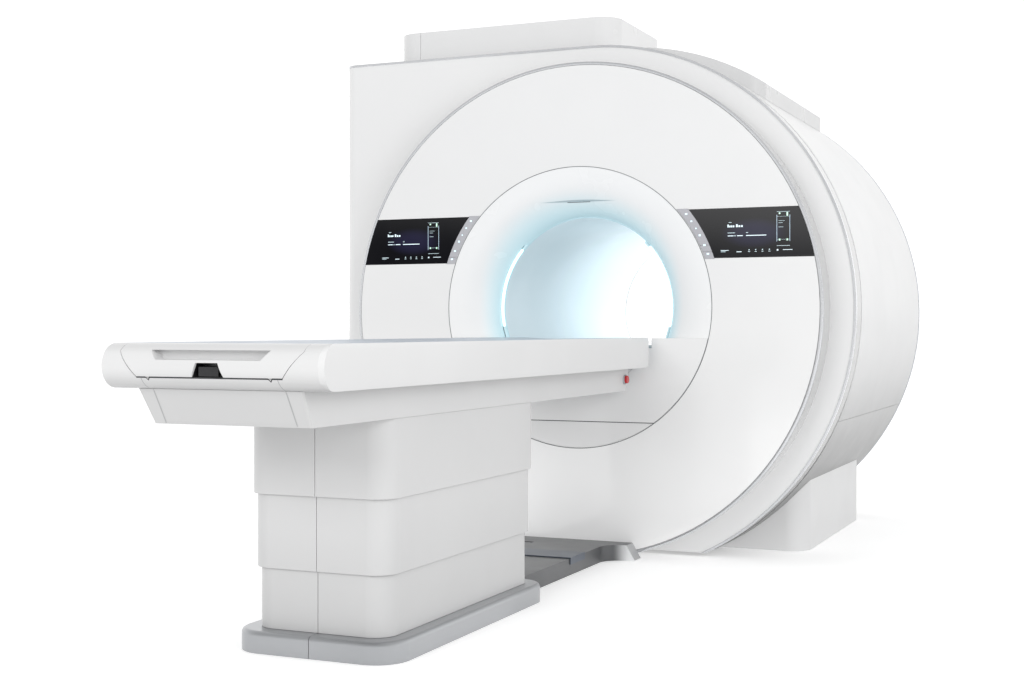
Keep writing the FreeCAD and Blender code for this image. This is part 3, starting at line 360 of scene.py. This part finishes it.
def paint_latch_shade():
    """Painted shade: black walls inside the latch's window in the end cap."""
    tree = CAP_WHITE.node_tree
    x, y, z = place(tree)
    inside = ramp(tree, maths(tree, "ABSOLUTE", x), LATCH_HALF, LATCH_HALF + 0.0006, 1.0, 0.0)
    low = ramp(tree, z, LATCH_TOP - 0.0002, LATCH_TOP + 0.0002, 1.0, 0.0)
    deep = ramp(tree, y, TABLE_FRONT + LATCH_DEPTH - 0.0003, TABLE_FRONT + LATCH_DEPTH + 0.0003)
    paint_in_shading(tree, maths(tree, "MULTIPLY", maths(tree, "MULTIPLY", inside, low), deep), (0.016, 0.016, 0.018))


def flare_finish():
    """White funnel with painted cyan shade and glow toward its throat, where the light strips graze it."""
    mat = paint("flare_white", (0.885, 0.892, 0.897), (0.895, 0.902, 0.907), (0.24, 0.28), coat=0.2)
    tree = mat.node_tree
    away = maths(tree, "SUBTRACT", radius(tree, BORE_Z), BORE_R)
    reach = ramp(tree, place(tree)[2], 1.0, 1.40, 0.080, 0.125)
    near = ramp(tree, maths(tree, "DIVIDE", away, reach), 0.0, 1.0, 1.0, 0.0)
    # Painted cyan shade and glow near the throat.
    shade_by(tree, near, WHITE, (0.74, 0.89, 0.93))
    return glow(mat, (0.38, 0.80, 0.92), maths(tree, "MULTIPLY", near, 0.16))


def liner_finish():
    """Bore lining, bluish at the mouth, with a painted glow that makes it white toward the far end."""
    mat = paint("liner_white", (0.68, 0.78, 0.82), (0.72, 0.81, 0.85), (0.30, 0.36), coat=0.1)
    tree = mat.node_tree
    # Painted glow, rising toward the far end.
    return glow(mat, (0.80, 0.94, 1.0), ramp(tree, place(tree)[1], FACE_Y + 0.35, 0.62, 0.06, 0.55))


def glass_finish():
    """Black glass with a painted sheen, paler toward the top, and a painted violet glow in the screen's
    middle.
    """
    mat = paint("black_glass", (0.006, 0.006, 0.008), (0.010, 0.010, 0.012), (0.05, 0.08), skin=(20.0, 0.01))
    tree = mat.node_tree
    shader = tree.nodes["Principled BSDF"]
    x, _, z = place(tree)
    # Painted sheen: how strongly the glass mirrors is set by place.
    slope = maths(tree, "ADD", maths(tree, "MULTIPLY", x, 0.10), z)
    upward = ramp(tree, slope, 1.16, 1.50, 0.03, 0.75)
    rightward = ramp(tree, x, -0.8, 0.8, 0.55, 1.35)
    tree.links.new(maths(tree, "MULTIPLY", upward, rightward), shader.inputs["Specular IOR Level"])
    # Painted violet glow, strongest in the middle of each screen.
    middle = maths(tree, "ABSOLUTE", maths(tree, "SUBTRACT", maths(tree, "ABSOLUTE", x), 0.745))
    high = maths(tree, "ABSOLUTE", maths(tree, "SUBTRACT", z, 1.295))
    tall = maths(tree, "MULTIPLY", maths(tree, "MULTIPLY", high, high), 5.0)
    spread = maths(tree, "ADD", maths(tree, "MULTIPLY", middle, middle), tall)
    return glow(mat, (0.14, 0.13, 0.42), ramp(tree, spread, 0.0, 0.020, 0.085, 0.0))


def light_finish(name, colour, strength):
    """Lit finish whose strength drifts a little."""
    mat = paint(name, (0.70, 0.93, 1.0), (0.78, 0.96, 1.0), (0.3, 0.4))
    tree = mat.node_tree
    return glow(mat, colour, ramp(tree, noise(tree, 8.0), 0.3, 0.7, strength * 0.95, strength * 1.05))


# Painted highlight on the tray's flared side and painted shade in the latch's window.
paint_tray_highlight()
paint_latch_shade()
FLARE_WHITE = flare_finish()
LINER = liner_finish()
GLASS = glass_finish()
LED = light_finish("led_cyan", (0.66, 0.97, 1.0), 1.6)
LED_SOFT = light_finish("led_pale", (0.80, 0.96, 1.0), 1.2)
UI_WHITE = light_finish("screen_white", (0.86, 0.88, 0.95), 0.42)
UI_DIM = light_finish("screen_dim", (0.55, 0.58, 0.68), 0.13)
UI_BLUE = light_finish("screen_blue", (0.22, 0.26, 0.75), 0.28)
UI_GREEN = light_finish("screen_green", (0.34, 0.80, 0.18), 0.50)
KEY_WHITE = light_finish("key_white", (0.95, 0.95, 1.0), 0.35)

FINISH_OF = {
    "disc_cover": DISC_WHITE, "surround_plate": PLATE_WHITE,
    "flare_panel": GLOSS_WHITE, "flare_panel_bottom": GLOSS_WHITE, "bore_bridge": GLOSS_WHITE,
    "dock_panel": GLOSS_WHITE, "front_flare": FLARE_WHITE, "bore_liner": LINER,
    "rear_cover": GLOSS_WHITE, "foot_cover": FOOT_WHITE,
    "turret_box": COVER_WHITE, "turret_box_end": COVER_WHITE, "top_right_cover": RIGHT_WHITE,
    "disc_trim": BRIGHT, "surround_trim": BRIGHT, "rear_rim_trim": GREY_RIM,
    "brow_window": BLACK, "display_left": GLASS, "display_right": GLASS,
    "led_arc_left": LED, "led_arc_right": LED, "rear_led_ring": LED_SOFT,
    "base_cover_left": SILVER, "base_cover_right": SILVER,
    "floor_tray": TRAY, "tray_strip": STRIP, "cradle": CRADLE_GREY,
    "cradle_end_cap": CAP_WHITE, "slab_shell": TABLE_WHITE,
    "underbody_cover": UNDER_WHITE, "underbody_front": UNDER_WHITE,
    "release_lever": BLACK, "stop_button": RED, "stop_collar": KEY_GREY,
    "drive_roller": RUBBER, "drive_motor": STEEL, "magnet_feet": STEEL,
    "cryostat_vessel": STEEL, "service_turret": STEEL, "magnet_coils": COPPER,
    "gradient_coil": RESIN, "rf_body_coil": RESIN,
}
BY_START = (("barrel_cover", BARREL_WHITE), ("skirt_", TIER_WHITE), ("column_", STEEL), ("key_", KEY_GREY))


def finish_for(name):
    """Finish of a CAD piece by its name or the start of it."""
    if name in FINISH_OF:
        return FINISH_OF[name]
    for start, mat in BY_START:
        if name.startswith(start):
            return mat
    return GLOSS_WHITE


# ---------------------------------------------------------------- soft edges on the CAD pieces
EDGE = {"disc_cover": 0.004, "surround_plate": 0.004, "turret_box": 0.010, "turret_box_end": 0.010,
        "top_right_cover": 0.008, "slab_shell": 0.003, "cradle_end_cap": 0.002, "foot_cover": 0.004,
        "underbody_front": 0.002, "base_cover_left": 0.004, "base_cover_right": 0.004,
        "disc_trim": 0.003, "surround_trim": 0.003}
SMALL_EDGE = 0.0012
AS_IT_IS = {"front_flare"}
NO_EDGE = {"magnet_coils", "gradient_coil", "rf_body_coil", "cryostat_vessel", "bore_liner",
           "underbody_cover"}


def soften(obj, name):
    """Narrow rounded edges with even shading, without changing the CAD mesh."""
    if name in AS_IT_IS:
        return
    weld = obj.modifiers.new("weld", "WELD")
    weld.merge_threshold = 0.00001
    if name in NO_EDGE:
        return
    bevel = obj.modifiers.new("edge", "BEVEL")
    bevel.limit_method = "ANGLE"
    bevel.angle_limit = math.radians(38)
    bevel.width = EDGE.get(name, SMALL_EDGE)
    bevel.segments = 2
    bevel.use_clamp_overlap = True
    even = obj.modifiers.new("even", "WEIGHTED_NORMAL")
    even.mode = "FACE_AREA_WITH_ANGLE"
    even.weight = 50


for name, node in NODES.items():
    node.data.materials.clear()
    node.data.materials.append(finish_for(name))
    soften(node, name)


# ---------------------------------------------------------------- small details
def mesh_piece(name, verts, faces, mat, body):
    """New mesh that rides on a body and belongs to a material slot."""
    mesh = bpy.data.meshes.new(name)
    mesh.from_pydata([tuple(v) for v in verts], [], faces)
    mesh.update()
    mesh.materials.append(mat)
    obj = bpy.data.objects.new(name, mesh)
    bpy.context.scene.collection.objects.link(obj)
    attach(obj, body)
    return obj


def tiles(name, rects, mat, body, y):
    """Thin upright tiles facing the front, each x0, x1, z0, z1."""
    verts, faces = [], []
    for x0, x1, z0, z1 in rects:
        n = len(verts)
        verts += [(x0, y, z0), (x1, y, z0), (x1, y, z1), (x0, y, z1)]
        verts += [(x0, y + PROUD, z0), (x1, y + PROUD, z0), (x1, y + PROUD, z1), (x0, y + PROUD, z1)]
        faces += [(n, n + 1, n + 2, n + 3), (n + 7, n + 6, n + 5, n + 4)]
        faces += [(n, n + 4, n + 5, n + 1), (n + 1, n + 5, n + 6, n + 2)]
        faces += [(n + 2, n + 6, n + 7, n + 3), (n + 3, n + 7, n + 4, n)]
    return mesh_piece(name, verts, faces, mat, body)


def on_screen(side, boxes):
    """Rectangles given in millimetres right and down from the screen's top left corner."""
    x0 = SCREEN_LEFT[side]
    return [(x0 + left / 1000, x0 + right / 1000, SCREEN_TOP - low / 1000, SCREEN_TOP - high / 1000)
            for left, right, high, low in boxes]


WHITE_BOXES = [(36, 41, 50, 61), (43, 48, 54, 61), (50, 55, 54, 61), (57, 63, 54, 61), (70, 77, 50, 61),
               (80, 87, 54, 61), (90, 97, 54, 61),
               (37, 60, 93, 96), (64, 68, 93, 96), (74, 97, 93, 96), (110, 190, 93, 96),
               (9, 40, 150, 152), (72, 92, 156, 158.5), (255, 292, 151.5, 153.5), (231, 237, 150, 156)]
DIM_BOXES = [(41, 52, 41, 43), (37, 66, 82, 84), (110, 118, 82, 84), (9, 28, 155, 157),
             (238, 262, 40, 41), (238, 254, 48, 49.4), (238, 256, 64, 65.4)]
DIM_BOXES += [(x - 4, x + 4, 156, 158) for x in (122, 148, 175, 202)]
DIM_BOXES += [(x - 2, x + 2, 148, 152) for x in (122, 148, 175, 202)]
FRAME_BOXES = [(231, 282, 5, 6.2), (231, 282, 136, 137.4), (231, 282, 24, 24.6), (231, 282, 112, 112.6)]
BLUE_BOXES = [(230.5, 232, 18, 120), (281, 282.5, 18, 120)]
GREEN_BOXES = [(239, 245, 9, 15), (269, 275, 8, 22), (239, 245, 110, 117), (269, 275, 110, 117)]
SCREEN_Y = FACE_Y - 0.0004
SCREEN_PARTS = (("text", WHITE_BOXES, UI_WHITE), ("hint", DIM_BOXES + FRAME_BOXES, UI_DIM),
                ("rails", BLUE_BOXES, UI_BLUE), ("lamps", GREEN_BOXES, UI_GREEN))
for side in ("left", "right"):
    for label, boxes, mat in SCREEN_PARTS:
        tiles(f"screen_{label}_{side}", on_screen(side, boxes), mat, "magnet_and_base", SCREEN_Y)


def ring_piece(name, r0, r1, angles, y, mat, centre_z):
    """Thin flat ring or arc facing the front."""
    a0, a1 = (math.radians(a) for a in angles)
    steps = max(8, int(abs(a1 - a0) / math.radians(1.5)))
    verts, faces = [], []
    for i in range(steps + 1):
        a = a0 + (a1 - a0) * i / steps
        for r, depth in ((r0, y), (r1, y), (r1, y + PROUD), (r0, y + PROUD)):
            verts.append((r * math.cos(a), depth, centre_z + r * math.sin(a)))
    for i in range(steps):
        n = 4 * i
        for k in range(4):
            m = (k + 1) % 4
            faces.append((n + k, n + m, n + 4 + m, n + 4 + k))
    return mesh_piece(name, verts, faces, mat, "magnet_and_base")


def light_tube(name, radius_m, y, angles, thick, mat):
    """Round strip of light on an arc about the bore, with rounded ends."""
    a0, a1 = (math.radians(a) for a in angles)
    steps, sides = 56, 14
    verts, faces = [], []
    span = abs(a1 - a0) * radius_m
    for i in range(steps + 1):
        t = (1 - math.cos(math.pi * i / steps)) / 2
        a = a0 + (a1 - a0) * t
        end = min(t, 1 - t) * span
        tube = thick * (1.0 if end >= thick else math.sqrt(max(0.0, 1 - (1 - end / thick) ** 2)))
        tube = max(tube, thick * 0.02)
        for k in range(sides):
            b = 2 * math.pi * k / sides
            r = radius_m + tube * math.cos(b)
            verts.append((r * math.cos(a), y + tube * math.sin(b), BORE_Z + r * math.sin(a)))
    for i in range(steps):
        for k in range(sides):
            m = (k + 1) % sides
            faces.append((i * sides + k, i * sides + m, (i + 1) * sides + m, (i + 1) * sides + k))
    faces += [tuple(range(sides)), tuple(range(steps * sides + sides - 1, steps * sides - 1, -1))]
    obj = mesh_piece(name, verts, faces, mat, "magnet_and_base")
    for poly in obj.data.polygons:
        poly.use_smooth = True
    return obj


for side, angles in (("left", (138.6, 192.0)), ("right", (-12.0, 41.4))):
    strip = light_tube(f"light_strip_{side}", STRIP_R, STRIP_Y, angles, STRIP_THICK, LED)
    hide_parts(f"led_arc_{side}")

GROOVE_SPANS = {"left": ((134.5, 138.4), (192.2, 200.0)), "right": ((41.6, 45.5), (-20.0, -12.2))}
for side, spans in GROOVE_SPANS.items():
    for k, angles in enumerate(spans):
        light_tube(f"groove_{side}_{k}", STRIP_R, STRIP_Y, angles, GROOVE_THICK, FLARE_WHITE)

ring_piece("seam_flare", FLARE_R + 0.0002, FLARE_R + 0.0030, (-180.0, 180.0), FACE_Y - PROUD, GREY_GAP,
           BORE_Z)
for side, sign in (("left", -1), ("right", 1)):
    marks = []
    for angle, (w, h) in zip(KEY_ANGLES, MARK_SIZES):
        x = sign * KEY_R * math.cos(math.radians(angle))
        z = BORE_Z + KEY_R * math.sin(math.radians(angle))
        marks.append((x - w, x + w, z - h, z + h))
    tiles(f"key_marks_{side}", marks, KEY_WHITE, "magnet_and_base", FACE_Y - 0.0024)


def nose_y(z, proud=PROUD):
    """Front of the bull-nosed table end at a height."""
    drop = max(-1.0, min(1.0, (z - SLAB_MID) / SLAB_R))
    return TABLE_FRONT + SLAB_R * (1 - math.sqrt(1 - drop * drop)) - proud


def line_strip(name, points, width, mat, body):
    """Thin line laid over a surface; points are on the surface, width is across X."""
    verts, faces = [], []
    for x, y, z in points:
        verts += [(x - width / 2, y, z), (x + width / 2, y, z)]
    for i in range(len(points) - 1):
        n = 2 * i
        faces.append((n, n + 1, n + 3, n + 2))
    return mesh_piece(name, verts, faces, mat, body)


for side, sign in (("left", -1), ("right", 1)):
    heights = [NOSE_SEAM_TOP - NOSE_SEAM_FALL * i / 12 for i in range(13)]
    line_strip(f"nose_seam_{side}", [(sign * NOSE_SEAM_X, nose_y(z), z) for z in heights], 0.0014, PALE_GAP,
               "table")


def cap_line():
    """Dark gap under the end cap, dipping in a small V near each end."""
    path = [(-CAP_LOW_HALF - 0.001, CAP_GAP_Z)]
    for x in (-NOTCH_X, NOTCH_X):
        path += [(x - 0.0060, CAP_GAP_Z), (x, CAP_GAP_Z - 0.0068), (x + 0.0060, CAP_GAP_Z)]
    path.append((CAP_LOW_HALF + 0.001, CAP_GAP_Z))
    verts, faces = [], []
    for x, z in path:
        for dz in (-0.0019, 0.0017):
            verts.append((x, nose_y(z + dz, 0.0006), z + dz))
    for i in range(len(path) - 1):
        n = 2 * i
        faces.append((n, n + 2, n + 3, n + 1))
    return mesh_piece("cap_gap", verts, faces, DARK_GAP, "table")


def under_y(z):
    """Leaning front of the housing under the table at a height, a little proud."""
    lean = (UNDER_LOW_Y - UNDER_TOP_Y) / (UNDER_TOP_Z - UNDER_LOW_Z)
    return UNDER_LOW_Y - (z - UNDER_LOW_Z) * lean - UNDER_PROUD


def under_line(name, x, width, mat):
    """Seam laid on the front of the housing under the table."""
    fall = UNDER_LOW_Z - UNDER_TOP_Z
    heights = [UNDER_TOP_Z + fall * t for t in (0.06, 0.97)]
    return line_strip(name, [(x, under_y(z), z) for z in heights], width, mat, "table")


cap_line()
for side, sign in (("left", -1), ("right", 1)):
    under_line(f"under_seam_{side}", sign * UNDER_SEAM_X, 0.0034, SOFT_GAP)


def under_foot():
    """Closes the gap under the front piece of the housing in the housing's own white."""
    verts = []
    for z in (UNDER_LOW_Z + 0.0032, UNDER_LOW_Z + 0.0068):
        verts += [(-UNDER_SEAM_X, under_y(z), z), (UNDER_SEAM_X, under_y(z), z)]
    return mesh_piece("under_foot", verts, [(0, 1, 3, 2)], UNDER_WHITE, "table")


under_foot()


def front_y(nodes, x, z):
    """Where the first of some CAD pieces lies at a point seen from the front."""
    found = []
    for node in nodes:
        hit, point, _, _ = NODES[node].ray_cast(Vector((x, -2.0, z)), Vector((0.0, 1.0, 0.0)))
        if hit:
            found.append(point.y)
    return min(found)


def brow_ledge_shade():
    """Painted shade: a darker lens laid round the small window above the bore."""
    half, low, tall, steps = BROW_HALF, BROW_LOW, BROW_TALL, 40
    verts, faces = [], []
    for i in range(steps + 1):
        x = half * (2 * i / steps - 1)
        rise = tall * (1 - (x / half) ** 2) ** 1.5
        for z in (low, low + rise):
            verts.append((x, front_y(BROW_BACKING, x, z) - 0.0006, z + 0.0001))
    for i in range(steps):
        n = 2 * i
        faces.append((n, n + 2, n + 3, n + 1))
    return mesh_piece("brow_ledge_shade", verts, faces, BROW, "magnet_and_base")


# Colour of the painted shade round the small window above the bore.
BROW = paint("brow_shade", (0.42, 0.52, 0.56), (0.46, 0.56, 0.60), (0.35, 0.42))
brow_ledge_shade()
half = math.sqrt(FLARE_R ** 2 - (BORE_Z - LOWER_SEAM_Z) ** 2)
tiles("seam_dock", [(-half, half, LOWER_SEAM_Z - 0.0018, LOWER_SEAM_Z + 0.0014)], DARK_GAP, "magnet_and_base",
      FACE_Y - 0.0003)


# ---------------------------------------------------------------- room, light and camera
def aim(obj, target):
    """Turns a lamp toward a point."""
    obj.rotation_euler = (Vector(target) - obj.location).to_track_quat("-Z", "Y").to_euler()


def lamp(name, where, target, size, power):
    """Soft area lamp that glossy surfaces don't mirror."""
    data = bpy.data.lights.new(name, "AREA")
    data.shape = "RECTANGLE"
    data.size, data.size_y = size
    data.energy = power
    obj = bpy.data.objects.new(name, data)
    bpy.context.scene.collection.objects.link(obj)
    obj.location = where
    obj.visible_glossy = False
    aim(obj, target)
    return obj


def room():
    """Pale floor in a soft white room whose light depends on the direction it comes from."""
    mat = paint("floor_pale", (0.90, 0.90, 0.90), (0.92, 0.92, 0.92), (0.6, 0.7), spec=0.2)
    glow(mat, WHITE, FLOOR_GLOW)
    mesh = bpy.data.meshes.new("floor")
    half = FLOOR_HALF
    corners = [(-half, -half, 0), (half, -half, 0), (half, half, 0), (-half, half, 0)]
    mesh.from_pydata(corners, [], [(0, 1, 2, 3)])
    mesh.materials.append(mat)
    floor = bpy.data.objects.new("floor", mesh)
    floor.location.z = CAD_LOW.z - 0.0005
    floor.visible_diffuse = False
    bpy.context.scene.collection.objects.link(floor)
    world = bpy.data.worlds.new("room")
    bpy.context.scene.world = world
    world.use_nodes = True
    tree = world.node_tree
    back = tree.nodes["Background"]
    back.inputs["Color"].default_value = (*WHITE, 1.0)
    x, y, z = split(tree, tree.nodes.new("ShaderNodeTexCoord").outputs["Generated"])
    ahead = ramp(tree, y, -0.75, 0.2, WORLD_FRONT, 1.0)
    right = ramp(tree, x, 0.3, 1.0, WORLD_SIDE, WORLD_RIGHT)
    overhead = ramp(tree, z, 0.15, 0.9, 1.0, WORLD_TOP)
    behind = ramp(tree, y, -0.5, 0.1, 1.0, WORLD_BELOW)
    below = blend_value(tree, ramp(tree, z, -0.40, -0.04), behind, 1.0)
    level = maths(tree, "MULTIPLY", ahead, right)
    upright = maths(tree, "MULTIPLY", overhead, below)
    tree.links.new(maths(tree, "MULTIPLY", level, upright), back.inputs["Strength"])


def camera():
    """Level camera in front of the table, right of it."""
    data = bpy.data.cameras.new("camera")
    data.lens = LENS
    data.sensor_width = SENSOR
    data.shift_y = CAMERA_SHIFT
    obj = bpy.data.objects.new("camera", data)
    obj.location = CAMERA_AT
    obj.rotation_euler = (math.radians(90), 0, math.radians(CAMERA_TURN))
    bpy.context.scene.collection.objects.link(obj)
    bpy.context.scene.camera = obj


room()
lamp("key", (-1.5, -10.0, 4.0), (0, -0.8, 0.9), (5.0, 3.0), KEY_POWER)
lamp("fill", (5.2, -5.5, 2.2), (0.3, -0.8, 0.8), (4.0, 2.6), FILL_POWER)
camera()
bpy.context.scene.view_settings.view_transform = "Standard"
